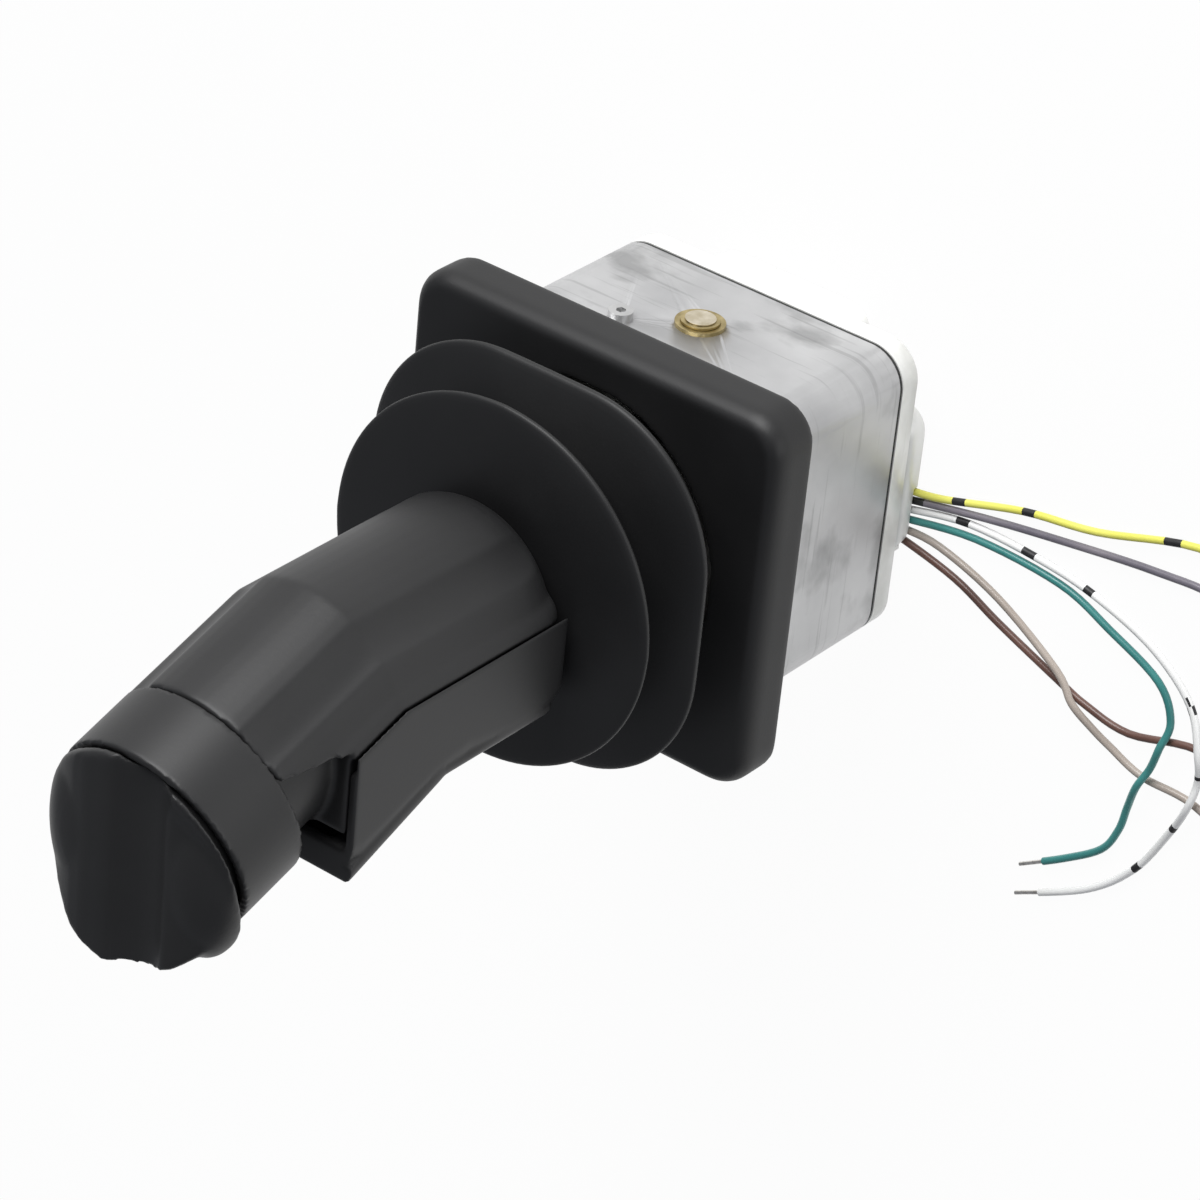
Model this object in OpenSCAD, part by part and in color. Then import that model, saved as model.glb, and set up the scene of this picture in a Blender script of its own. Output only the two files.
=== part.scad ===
// Panel-mount industrial joystick: two-axis gimbal in a die-cast housing,
// bent hand grip with a press trigger and a thumb rocker, rubber gaiter
// and six flying leads.
// +Z runs up the lever, +X to the lead side, -Y to the trigger side.
// The origin is on the lever axis at the underside of the mounting plate.

/* [Mounting plate] */
// Width of the mounting plate
plate_w = 96; // [95:1:108]
// Depth of the mounting plate
plate_d = 88; // [87:1:100]
// Thickness of the mounting plate
plate_t = 2.5; // [2:0.5:4]
// Corner radius of the mounting plate
plate_corner = 9; // [5:1:12]
// Diameter of the four mounting holes
mount_hole_d = 4.5; // [4:0.1:5]
// Distance of a mounting hole from the plate's edge
mount_inset = 6; // [5.5:0.25:6.5]

/* [Housing] */
// Width of the housing
box_w = 80; // [78:1:84]
// Depth of the housing
box_d = 73.5; // [72:0.5:76]
// Height of the housing under the plate
box_h = 46.5; // [45:0.5:60]
// Corner radius of the housing
box_corner = 9; // [7:0.5:11]
// Side wall of the housing
wall = 3; // [2.5:0.25:3.5]
// Top wall of the housing
top_wall = 4; // [3:0.5:5]
// Thickness of the rear gasket
gasket_t = 1; // [0.8:0.1:2]
// Diameter of the housing screws
screw_d = 4; // [3:0.5:4]

/* [Rear cover] */
// Height of the cover at its corners
cover_rim = 5.5; // [5:0.5:8]
// Height of the raised middle above the corners
cover_raise = 8.5; // [8:0.5:12]
// Wall of the cover
cover_wall = 3; // [2.5:0.25:3.5]
// Half width of the raised arm along Y
arm_half_x = 22; // [20:0.5:23]
// Half depth of the raised arm along X
arm_half_y = 18.5; // [18:0.5:19.5]
// Depth of the channel that lets the leads out
channel_h = 2.8; // [2.6:0.1:3.2]

/* [Gimbal] */
// Depth of the pivot centre under the plate
pivot_depth = 25; // [25:0.5:27]
// Tilt of the lever to each side
tilt = 20; // [10:1:20]
// Diameter of the pivot pins
trunnion_d = 7; // [6:0.5:7.5]
// Diameter of the cross pin
cross_d = 6; // [5:0.5:6.5]
// Height of the gimbal frame
yoke_h = 14; // [12:0.5:14]
// Diameter of the lever shaft
shaft_d = 12; // [10:0.5:12]

/* [Gaiter] */
// Height of the gaiter's skirt
skirt_h = 11; // [10:0.5:14]
// Half width of the square fold
fold_half = 45.7; // [43:0.1:47]
// Radius of the round fold
disc_r = 42.9; // [38:0.1:44]
// Wall of the gaiter
rubber_t = 2; // [1.5:0.25:2.25]

/* [Grip] */
// Radius of the grip tube and head
grip_r = 24.1; // [23.6:0.1:24.4]
// Height where the grip bends
bend_z = 99.6; // [98:0.1:102]
// Bend of the head towards the trigger side
bend = 19; // [16:1:20]
// Length from the bend to the head seam
seam_l = 32; // [31:0.5:34]
// Length of the head cap
head_l = 17.5; // [16.5:0.5:20]
// Half width of the shoulders beside the trigger
shoulder_x = 24.6; // [24.5:0.1:25]
// Press of the trigger in degrees
trigger_press = 3; // [1:0.5:3]
// Rock of the thumb rocker to each side in degrees
rocker_tilt = 3; // [1:0.5:3]

/* [Leads] */
// Diameter of a lead
lead_d = 1.8; // [1.4:0.1:2]
// Distance between neighbouring leads at the grommet
lead_pitch = 2.5; // [2.3:0.1:2.5]

/* [Hidden] */
$fn = 48;
eps = 0.01;
gap = 0.3;
run_gap = 0.05;

pivot_z = -pivot_depth;
seam_z = -box_h;
cover_z = seam_z - gasket_t;
corner_z = cover_z - cover_rim;
bench_z = corner_z - cover_raise;
boss_inset = 7;
boss_x = box_w / 2 - boss_inset;
boss_y = box_d / 2 - boss_inset;
boss_r = 5.5;
mount_x = plate_w / 2 - mount_inset;
mount_y = plate_d / 2 - mount_inset;
wall_y = box_d / 2;

yoke_x = 20;
yoke_y = 24;
yoke_in_x = 12.5;
yoke_in_y = 16;
bush_boss = 4;
bush_r = trunnion_d / 2 + 1;
bush_flange_r = trunnion_d / 2 + 2.2;
bush_flange_t = 0.9;
ring_t = 0.5;
groove_w = 0.65;
groove_in = 0.4;
pin_end_y = wall_y + bush_flange_t + 0.9;
sensor_r = 8;
sensor_t = 5;
ball_r = 9;

gate_z = plate_t;
gate_t = 2;
gate_w = 56;
gate_corner = 5;
gate_screw = 24;
gate_reach = (gate_z + gate_t + pivot_depth) * tan(tilt) / cos(tilt);
gate_half = gate_reach + shaft_d / 2 / cos(tilt * 1.4) + 0.6;
opening_r = 27;

plunger_r = 3.2;
dish_r = 14;
dish_rho = 23.5;
plunger_tip = dish_rho - gap;
shaft_low = 19;
shaft_top = 72;
thread_d = 10;
thread_l = 10;

skirt_z = plate_t;
skirt_top = skirt_z + skirt_h;
skirt_wrap = 2.2;
skirt_shelf = 2;
skirt_low = 0.4;
fold_z = skirt_top + 15;
valley_z = fold_z + 6;
disc_z = fold_z + 14.5;

grip_y = 0.2;
grip_foot = disc_z + 4;
rim_l = seam_l + head_l;
core_front = 14;
core_x = shoulder_x - 1.5;
core_rear = 3.4;
shoulder_rear = 9;
flap_x = shoulder_x + 0.8;
flap_in = core_x + gap;
lip_in = shoulder_x + 0.1;
lip_rear = 4.4;
trig_low = 48;
trig_high = 114.8;
trig_skin = 2.2;
pocket_top = trig_high + 1.8;
core_bend_z = bend_z - core_front * tan(bend / 2);
trig_pin_y = -8;
trig_pin_z = 54;
trig_pin_d = 3;

rocker_r = grip_r - 0.1;
rocker_pin_l = rim_l - 5.5;
rocker_pin_d = 3;
tip_z = bend_z + rim_l * cos(bend) + 10.4;

lead_z = bench_z + lead_d / 2 + 0.4;
floor_z = bench_z + lead_d / 2 + 0.05;
channel_y = -9.5;
channel_half = 7.9;
grommet_x = 18;
lead_x = 24;
board_t = 1.6;
board_z = bench_z + cover_wall + 4.3;
board_holes = [26, 32.5];

// ---- shared shapes ----

// Rounded rectangle made of true arcs
module rounded_rect(w, d, r) {
  square([w - 2 * r, d], center = true);
  square([w, d - 2 * r], center = true);
  for (x = [-1, 1], y = [-1, 1])
    translate([x * (w / 2 - r), y * (d / 2 - r)]) circle(r);
}

module rounded_block(w, d, h, r) {
  linear_extrude(h) rounded_rect(w, d, r);
}

// Copies at the four corners of a rectangle
module at_corners(x, y) {
  for (sx = [-1, 1], sy = [-1, 1]) translate([sx * x, sy * y, 0]) children();
}

// Cylinder along +Y from y0 to y1 at the pivot's height
module y_rod(r, y0, y1) {
  translate([0, y0, pivot_z]) rotate([-90, 0, 0]) cylinder(r = r, h = y1 - y0);
}

// Cylinder along +X from x0 to x1 at the pivot's height
module x_rod(r, x0, x1) {
  translate([x0, 0, pivot_z]) rotate([0, 90, 0]) cylinder(r = r, h = x1 - x0);
}

// Children along the tilted axis of the head, Z up the axis
module at_head() {
  translate([0, grip_y, bend_z]) rotate([bend, 0, 0]) children();
}

// Y of the grip's centre line at height z
function grip_c(z) = grip_y - max(0, z - bend_z) * tan(bend);

// Closed ring of points: a rectangle with front and rear corner radii
function corner(cx, cy, r, a0, n) =
  [for (i = [0:n]) let (a = a0 + 90 * i / n) [cx + r * cos(a), cy + r * sin(a)]];
function ring(w, front, rear, rf, rr, z, n) = [for (p = concat(
    corner(w - rr, rear - rr, rr, 0, n), corner(-w + rr, rear - rr, rr, 90, n),
    corner(-w + rf, front + rf, rf, 180, n), corner(w - rf, front + rf, rf, 270, n)))
  [p[0], p[1], z]];

// Solid through a list of rings, capped at both ends
module loft(rings) {
  n = len(rings[0]);
  m = len(rings);
  points = [for (r = rings) for (p = r) p];
  sides = [for (j = [0:m - 2]) for (i = [0:n - 1]) let (k = (i + 1) % n)
    each [[j * n + i, (j + 1) * n + i, j * n + k],
          [j * n + k, (j + 1) * n + i, (j + 1) * n + k]]];
  low = [for (i = [0:n - 1]) i];
  high = [for (i = [0:n - 1]) m * n - 1 - i];
  polyhedron(points, concat(sides, [low, high]), convexity = 6);
}

// Solid swept around by closed profile rings, for a gaiter's wall
module wrap(rings) {
  n = len(rings[0]);
  m = len(rings);
  points = [for (r = rings) for (p = r) p];
  faces = [for (j = [0:m - 1]) for (i = [0:n - 1])
    let (k = (i + 1) % n, u = (j + 1) % m)
    each [[j * n + i, u * n + i, j * n + k], [j * n + k, u * n + i, u * n + k]]];
  polyhedron(points, faces, convexity = 6);
}

// Smooth curve through a list of points
function spline_at(p, i, t) = let (
    a = p[max(i - 1, 0)], b = p[i], c = p[i + 1], d = p[min(i + 2, len(p) - 1)])
  0.5 * (2 * b + (c - a) * t + (2 * a - 5 * b + 4 * c - d) * t * t
    + (3 * b - a - 3 * c + d) * t * t * t);
function spline(p, n) = concat(
  [for (i = [0:len(p) - 2]) for (k = [0:n - 1]) spline_at(p, i, k / n)], [p[len(p) - 1]]);

// Tube along a path; up is any direction that the path never takes
function unit(v) = v / norm(v);
function along(p, i) = unit(p[min(i + 1, len(p) - 1)] - p[max(i - 1, 0)]);
module tube(p, r, sides, up) {
  rings = [for (i = [0:len(p) - 1]) let (
      t = along(p, i), u = unit(cross(up, t)), v = cross(t, u))
    [for (k = [0:sides - 1]) p[i] + r * cos(360 * k / sides) * u + r * sin(360 * k / sides) * v]];
  loft([for (i = [len(rings) - 1:-1:0]) rings[i]]);
}

// ---- fixed parts ----

module mounting_plate() {
  color("silver") difference() {
    rounded_block(plate_w, plate_d, plate_t, plate_corner);
    translate([0, 0, -1]) cylinder(r = opening_r, h = plate_t + 2);
    at_corners(mount_x, mount_y) translate([0, 0, -1]) cylinder(d = mount_hole_d, h = plate_t + 2);
    at_corners(boss_x, boss_y) {
      translate([0, 0, -1]) cylinder(r = screw_d / 2 + run_gap, h = plate_t + 2);
      translate([0, 0, plate_t - screw_d / 2 - run_gap])
        cylinder(r1 = screw_d / 2 + run_gap, r2 = screw_d + 3 * run_gap, h = screw_d / 2 + 2 * run_gap);
    }
    at_corners(gate_screw, gate_screw) translate([0, 0, -1]) cylinder(r = 1.5, h = plate_t + 2);
  }
}

module housing() {
  color("lightgray") difference() {
    union() {
      difference() {
        translate([0, 0, seam_z]) rounded_block(box_w, box_d, box_h, box_corner);
        translate([0, 0, seam_z - 1])
          rounded_block(box_w - 2 * wall, box_d - 2 * wall, box_h - top_wall + 1, box_corner - wall);
      }
      at_corners(boss_x, boss_y) translate([0, 0, seam_z]) cylinder(r = boss_r, h = box_h);
      for (s = [0, 180]) rotate(s) y_rod(ball_r, wall_y - wall - bush_boss, wall_y - eps);
    }
    translate([0, 0, -top_wall - 1]) cylinder(r = opening_r - 1, h = top_wall + 2);
    y_rod(bush_r, -wall_y - 1, wall_y + 1);
    at_corners(boss_x, boss_y) {
      translate([0, 0, -10]) cylinder(r = screw_d / 2, h = 11);
      translate([0, 0, seam_z - 1]) cylinder(r = screw_d / 2, h = 16);
    }
    translate([-14, wall_y - wall - 1, -14.5]) rotate([-90, 0, 0]) cylinder(r = 1.5, h = wall + 2);
  }
}

module plate_screws() {
  color("gainsboro") at_corners(boss_x, boss_y) {
    translate([0, 0, plate_t - screw_d / 2])
      cylinder(r1 = screw_d / 2, r2 = screw_d - run_gap, h = screw_d / 2 - 0.1);
    translate([0, 0, -9]) cylinder(r = screw_d / 2 - run_gap, h = 9 + plate_t - screw_d / 2);
  }
}

module side_screw() {
  color("silver") translate([-14, wall_y, -14.5]) rotate([-90, 0, 0]) difference() {
    union() {
      cylinder(r = 2.8, h = 2);
      translate([0, 0, -4]) cylinder(r = 1.5 - run_gap, h = 4);
    }
    translate([0, 0, 0.9]) cylinder(r = 1.2, h = 2, $fn = 6);
  }
}

module gate_plate() {
  color("gray") translate([0, 0, gate_z]) difference() {
    rounded_block(gate_w, gate_w, gate_t, gate_corner);
    translate([0, 0, -1]) rounded_block(2 * gate_half, 2 * gate_half, gate_t + 2, 6);
    at_corners(gate_screw, gate_screw) translate([0, 0, -1]) cylinder(r = 1.6, h = gate_t + 2);
  }
}

module gate_screws() {
  color("gainsboro") at_corners(gate_screw, gate_screw) {
    translate([0, 0, gate_z + gate_t]) cylinder(r = 2.7, h = 1.8);
    translate([0, 0, 0.2]) cylinder(r = 1.45, h = gate_z + gate_t);
  }
}

module pivot_bushes() {
  color("goldenrod") for (s = [0, 180]) rotate(s) difference() {
    union() {
      y_rod(bush_r, wall_y - wall - bush_boss, wall_y + bush_flange_t);
      y_rod(bush_flange_r, wall_y, wall_y + bush_flange_t);
    }
    y_rod(trunnion_d / 2 + run_gap, 0, wall_y + 2);
  }
}

module gasket() {
  color("black") translate([0, 0, cover_z]) difference() {
    rounded_block(box_w - 0.6, box_d - 0.6, gasket_t, box_corner - 0.3);
    difference() {
      translate([0, 0, -1])
        rounded_block(box_w - 2 * wall, box_d - 2 * wall, gasket_t + 2, box_corner - wall);
      at_corners(boss_x, boss_y) translate([0, 0, -2]) cylinder(r = boss_r, h = gasket_t + 4);
    }
    at_corners(boss_x, boss_y) translate([0, 0, -1]) cylinder(r = screw_d / 2 + gap, h = gasket_t + 2);
  }
}

// One raised arm of the cover with softened edges
module cover_arm(w, d) {
  r = 6;
  hull() {
    translate([0, 0, corner_z - eps]) rounded_block(w, d, 1, r, $fn = 32);
    translate([0, 0, bench_z + 1.2]) rounded_block(w - 1, d - 1, 1, r, $fn = 32);
    translate([0, 0, bench_z]) rounded_block(w - 3.4, d - 3.4, 1, r - 1, $fn = 32);
  }
}

module rear_cover() {
  inner_z = bench_z + cover_wall;
  roof_z = bench_z + channel_h + cover_wall;
  color("gainsboro") difference() {
    union() {
      difference() {
        union() {
          translate([0, 0, corner_z]) rounded_block(box_w, box_d, cover_rim, box_corner);
          cover_arm(box_w - 0.6, 2 * arm_half_y);
          cover_arm(2 * arm_half_x, box_d - 0.6);
        }
        translate([0, 0, corner_z + cover_wall])
          rounded_block(box_w - 2 * wall, box_d - 2 * wall, cover_rim, box_corner - wall);
        translate([0, 0, inner_z])
          rounded_block(box_w - 2 * wall - 1, 2 * (arm_half_y - cover_wall), 20, 3);
        translate([0, 0, inner_z])
          rounded_block(2 * (arm_half_x - cover_wall), box_d - 2 * wall - 1, 20, 3);
      }
      at_corners(boss_x, boss_y) translate([0, 0, corner_z]) cylinder(r = boss_r, h = cover_rim);
      translate([grommet_x - cover_wall, channel_y - channel_half - 1, inner_z - 1])
        cube([box_w / 2 - grommet_x, 2 * channel_half + 2, roof_z - inner_z + 1]);
      for (x = board_holes, y = [-11.5, 11.5])
        translate([x, y, inner_z - 1]) cylinder(r = 2.4, h = board_z - inner_z + 1);
    }
    at_corners(boss_x, boss_y) translate([0, 0, corner_z - 1])
      cylinder(r = screw_d / 2 + gap, h = cover_rim + 2);
    translate([grommet_x, channel_y - channel_half, bench_z - 1])
      cube([box_w / 2, 2 * channel_half, channel_h + 1]);
    translate([grommet_x + 1, channel_y - channel_half + 1, bench_z])
      cube([4, 2 * channel_half - 2, 2 * channel_h + cover_wall]);
    for (x = board_holes, y = [-11.5, 11.5])
      translate([x, y, roof_z + 0.5]) cylinder(r = 1.1, h = 10);
  }
}

module cover_screws() {
  color("silver") at_corners(boss_x, boss_y) difference() {
    union() {
      translate([0, 0, corner_z - 2.6]) cylinder(r = 3.7, h = 2.6);
      translate([0, 0, corner_z]) cylinder(r = screw_d / 2 - run_gap, h = cover_rim + gasket_t + 14);
    }
    translate([0, 0, corner_z - 3]) cylinder(r = 1.4, h = 1.8, $fn = 6);
  }
}

module lead_grommet() {
  roof_z = bench_z + channel_h + cover_wall;
  color("black") {
    translate([grommet_x, channel_y - channel_half, bench_z + 0.2])
      cube([lead_x - grommet_x, 2 * channel_half, channel_h - 0.2]);
    translate([grommet_x + 1, channel_y - channel_half + 1, bench_z + channel_h - eps])
      cube([4, 2 * channel_half - 2, cover_wall + 0.8]);
  }
}

module lead_board() {
  color("darkgreen") translate([17.5, -14, board_z]) difference() {
    cube([17.5, 28, board_t]);
    for (x = board_holes, y = [2.5, 25.5]) translate([x - 17.5, y, -1]) cylinder(r = 1.3, h = board_t + 2);
  }
  color("black") translate([20, -3, board_z + board_t]) cube([8, 10, 1.6]);
  color("white") translate([30, -7.5, board_z + board_t]) cube([4, 7, 3]);
}

module board_screws() {
  color("silver") for (x = board_holes, y = [-11.5, 11.5]) translate([x, y, board_z + board_t]) {
    cylinder(r = 2.1, h = 1.4);
    translate([0, 0, -board_t - 1]) cylinder(r = 1.05, h = board_t + 1);
  }
}

module cam_dish() {
  color("ivory") difference() {
    translate([0, 0, bench_z + cover_wall])
      cylinder(r = dish_r, h = pivot_z - bench_z - cover_wall - sqrt(dish_rho * dish_rho - 169));
    translate([0, 0, pivot_z]) sphere(r = dish_rho, $fn = 96);
  }
}

module sensor_x() {
  color("black") difference() {
    union() {
      rotate(180) y_rod(sensor_r, yoke_y + 0.8, wall_y - wall - bush_boss);
      translate([-4, -wall_y + wall + bush_boss, pivot_z - sensor_r - 2.5])
        cube([8, wall_y - wall - bush_boss - yoke_y - 1.2, 5]);
    }
    rotate(180) y_rod(trunnion_d / 2 + 0.1, 0, wall_y);
  }
}

// ---- gimbal ----

module yoke() {
  color("dimgray") difference() {
    translate([0, 0, pivot_z - yoke_h / 2]) rounded_block(2 * yoke_x, 2 * yoke_y, yoke_h, 4);
    translate([0, 0, pivot_z - yoke_h / 2 - 1])
      rounded_block(2 * yoke_in_x, 2 * yoke_in_y, yoke_h + 2, 2);
    y_rod(trunnion_d / 2, -yoke_y - 1, yoke_y + 1);
    x_rod(cross_d / 2 + run_gap, -yoke_x - 1, yoke_x + 1);
  }
}

module trunnion_pins() {
  groove_y = wall_y + bush_flange_t + 0.03;
  color("tan") for (s = [0, 180]) rotate(s) difference() {
    y_rod(trunnion_d / 2, yoke_in_y, pin_end_y);
    difference() {
      y_rod(trunnion_d, groove_y, groove_y + groove_w);
      y_rod(trunnion_d / 2 - groove_in, groove_y - 1, groove_y + 2);
    }
  }
}

module retaining_rings() {
  ring_y = wall_y + bush_flange_t + 0.1;
  color("goldenrod") for (s = [0, 180]) rotate(s) difference() {
    y_rod(trunnion_d / 2 + 1, ring_y, ring_y + ring_t);
    y_rod(trunnion_d / 2 - groove_in + run_gap, ring_y - 1, ring_y + 2);
    translate([-1, ring_y - 1, pivot_z - 8]) cube([2, 3, 8]);
  }
}

module sensor_y() {
  color("black") difference() {
    union() {
      x_rod(sensor_r, yoke_x, yoke_x + sensor_t);
      translate([yoke_x, -4, pivot_z - sensor_r - 2.5]) cube([sensor_t - 0.6, 8, 5]);
    }
    x_rod(cross_d / 2 + 0.1, yoke_x - 1, yoke_x + sensor_t + 1);
  }
}

// ---- lever ----

module cross_pin() {
  color("silver") x_rod(cross_d / 2, -yoke_x - 1, yoke_x + sensor_t + 1);
}

module lever_shaft() {
  color("lightsteelblue") difference() {
    union() {
      translate([0, 0, pivot_z - shaft_low]) cylinder(d = shaft_d, h = shaft_low + pivot_depth + shaft_top);
      x_rod(ball_r, -yoke_in_x + gap, yoke_in_x - gap);
      translate([0, 0, shaft_top]) cylinder(d = thread_d, h = thread_l);
    }
    x_rod(cross_d / 2, -yoke_in_x - 1, yoke_in_x + 1);
    translate([0, 0, pivot_z - shaft_low - 1]) cylinder(r = plunger_r + run_gap, h = shaft_low - 8);
  }
}

module plunger() {
  color("gold") translate([0, 0, pivot_z - plunger_tip + plunger_r]) {
    sphere(r = plunger_r, $fn = 32);
    cylinder(r = plunger_r, h = 6);
  }
}

module plunger_spring() {
  low = pivot_z - plunger_tip + plunger_r + 6;
  high = pivot_z - 9;
  turns = 3;
  wire = 0.35;
  steps = 10;
  path = [for (i = [0:turns * steps]) let (a = 360 * i / steps)
    [2.4 * cos(a), 2.4 * sin(a), low + wire + (high - low - 2 * wire) * i / turns / steps]];
  color("silver") tube(path, wire, 6, [0, 0, 1]);
}

// Outline at a height of the straight grip, at the bend and along the tilted head
function level(z, outline) = [for (p = outline) [p[0], grip_y + p[1], z]];
function mitre(outline) =
  [for (p = outline) [p[0], grip_y + p[1], bend_z + p[1] * tan(bend / 2)]];
function tilted(l, outline) = [for (p = outline)
  [p[0], grip_y + p[1] * cos(bend) - l * sin(bend), bend_z + p[1] * sin(bend) + l * cos(bend)]];

// Outline of the grip tube with radius r
function grip_round(r) = [for (k = [0:47]) r * [cos(7.5 * k), sin(7.5 * k)]];

// Outline of the shoulders that frame the trigger, with soft rear corners
function shoulder_outline(w) = let (r = 5, front = -core_front - 4, rear = shoulder_rear) concat(
  [[w, front], [w, rear - r]], [for (a = [15:15:75]) [w - r + r * cos(a), rear - r + r * sin(a)]],
  [[w - r, rear], [r - w, rear]], [for (a = [105:15:165]) [r - w + r * cos(a), rear - r + r * sin(a)]],
  [[-w, rear - r], [-w, front]]);

// Corners of a box outline from x0 to x1 and from y0 to y1
function box_outline(x0, x1, y0, y1) = [[x1, y0], [x1, y1], [x0, y1], [x0, y0]];

module grip_foot_and_tube() {
  foot = [[0, -6], [1, -4], [2.5, -2], [4.5, -0.8], [7, -0.2]];
  round = grip_round(grip_r);
  rings = [for (p = foot) level(grip_foot + p[0], grip_round(grip_r + p[1]))];
  loft(concat(rings, [level(grip_foot + 10, round), mitre(round), tilted(seam_l, round)]));
}

module shoulders() {
  low = [[2, 1.6], [3, 0.8], [4.5, 0.2], [6.5, 0]];
  side = shoulder_outline(shoulder_x);
  rings = [for (p = low) level(grip_foot + p[0], shoulder_outline(shoulder_x - p[1]))];
  below(pocket_top + 2) loft(concat(rings, [mitre(side), tilted(seam_l, side)]));
}

// Room for the trigger in front of the core and beside it
module trigger_pocket() {
  front = box_outline(-40, 40, -38, -core_front);
  left = box_outline(-core_x - 20, -core_x, -38, core_rear);
  right = box_outline(core_x, core_x + 20, -38, core_rear);
  below(pocket_top) for (o = [front, left, right])
    loft([level(grip_foot - 3, o), mitre(o), tilted(seam_l + 4, o)]);
}

module below(z) {
  intersection() {
    union() children();
    translate([-60, -90, z - 200]) cube([120, 180, 200]);
  }
}

// Room inside the grip above the clamping nut
module grip_hollow() {
  translate([0, 1, shaft_top + 3]) cylinder(r = 12, h = bend_z - shaft_top);
  at_head() cylinder(r = 12, h = seam_l + 1);
}

module grip_body() {
  color("dimgray") difference() {
    union() {
      grip_foot_and_tube();
      shoulders();
    }
    trigger_pocket();
    translate([0, 0, grip_foot - 1]) cylinder(d = shaft_d + 2 * run_gap, h = shaft_top - grip_foot + 1);
    translate([0, 0, shaft_top - eps]) cylinder(d = thread_d + 1, h = 4);
    grip_hollow();
    translate([-60, trig_pin_y, trig_pin_z]) rotate([0, 90, 0]) cylinder(d = trig_pin_d, h = 120);
    at_head() for (x = [-1, 1]) translate([x * 18, 0, seam_l - 10]) cylinder(r = 1.2, h = 11);
  }
}

module grip_nut() {
  color("silver") translate([0, 0, shaft_top + 3]) difference() {
    union() {
      cylinder(d = 21, h = 1.2);
      translate([0, 0, 1.2]) cylinder(d = 18.5, h = 5.2, $fn = 6);
    }
    translate([0, 0, -1]) cylinder(d = thread_d + 2 * run_gap, h = 10);
  }
}

module head_cap() {
  color("dimgray") at_head() difference() {
    translate([0, 0, seam_l + 0.1]) cylinder(r = grip_r, h = head_l - 0.1, $fn = 72);
    translate([0, 0, seam_l + 3]) cylinder(r = grip_r - 2, h = head_l, $fn = 72);
    translate([0, 0, seam_l - 1]) cylinder(r = 12, h = 5);
    for (x = [-1, 1]) translate([x * 18, 0, seam_l - 1]) cylinder(r = 1.4, h = 5);
  }
  color("dimgray") at_head() for (y = [-1, 1])
    difference() {
      translate([-4, y * (grip_r - 5) - 1.5, seam_l + 2.9]) cube([8, 3, rocker_pin_l - seam_l - 0.2]);
      translate([0, 0, rocker_pin_l]) rotate([90, 0, 0]) cylinder(d = rocker_pin_d, h = 60, center = true);
    }
}

module cap_screws() {
  color("silver") at_head() for (x = [-1, 1]) translate([x * 18, 0, seam_l + 3]) {
    cylinder(r = 2.3, h = 1.5);
    translate([0, 0, -11]) cylinder(r = 1.15, h = 11);
  }
}

// Top of the rocker from left to right: distance across, drop below the highest point
rocker_top = [[-26, 10], [-24, 7.3], [-22, 4.8], [-20, 3.5], [-17, 2], [-14, 0.8], [-10, 0], [-5, 0.3],
  [0, 1.8], [4, 3.2], [8, 2.9], [12, 3.8], [16, 5.5], [20, 7.8], [24, 10.8], [26, 12.5]];

module rocker_body() {
  low = rim_l + 0.2;
  rise = 30 * tan(rocker_tilt);
  intersection() {
    at_head() translate([0, 0, rim_l - 5]) cylinder(r = rocker_r, h = 50, $fn = 72);
    at_head() translate([0, 40, 0]) rotate([90, 0, 0]) linear_extrude(80)
      polygon([[0, low], [30, low + rise], [30, low + 50], [-30, low + 50], [-30, low + rise]]);
    union() {
      translate([0, 60, 0]) rotate([90, 0, 0]) linear_extrude(120)
        polygon(concat([for (p = rocker_top) [p[0], tip_z - p[1]]], [[26, 100], [-26, 100]]));
      at_head() translate([0, 0, seam_l]) cylinder(r = 30, h = head_l + 2.4);
    }
  }
}

module thumb_rocker() {
  color("dimgray") difference() {
    union() {
      rocker_body();
      at_head() translate([0, 0, rocker_pin_l + 3.5]) cylinder(r = grip_r - 3, h = 4, $fn = 72);
      at_head() translate([-5, -14.5, rocker_pin_l - 3]) cube([10, 29, 8]);
    }
    at_head() translate([0, 0, rocker_pin_l]) rotate([90, 0, 0])
      cylinder(d = rocker_pin_d + 2 * run_gap, h = 60, center = true);
  }
}

module rocker_pin() {
  color("silver") at_head() translate([0, 0, rocker_pin_l]) rotate([90, 0, 0])
    cylinder(d = rocker_pin_d, h = 2 * (grip_r - 3), center = true);
}

module rocker_switches() {
  color("black") at_head() for (x = [-1, 1]) translate([x * 12, 0, seam_l + 3]) {
    translate([-3, -3, 0]) cube([6, 6, 10]);
    cylinder(r = 1.6, h = rocker_pin_l - seam_l - 0.5);
  }
}

// Front outline of the trigger: height, distance in front of the lever axis
trigger_front = [[trig_low, 15.6], [49.5, 17.3], [56, 19.6], [64, 20.3], [71, 19.8], [78, 19], [86, 20.7],
  [95, 24.1], [bend_z, 26.2], [105, 28.6], [111, 30.9], [trig_high, 31]];

// How far the trigger moves in when pressed at height z, with the gap it keeps to the core
function press_room(z) = 0.6 + max(0, z - trig_pin_z) * tan(trigger_press);

module across(half, outline) {
  translate([-half, 0, 0]) rotate([90, 0, 90]) linear_extrude(2 * half) polygon(outline);
}

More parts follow.
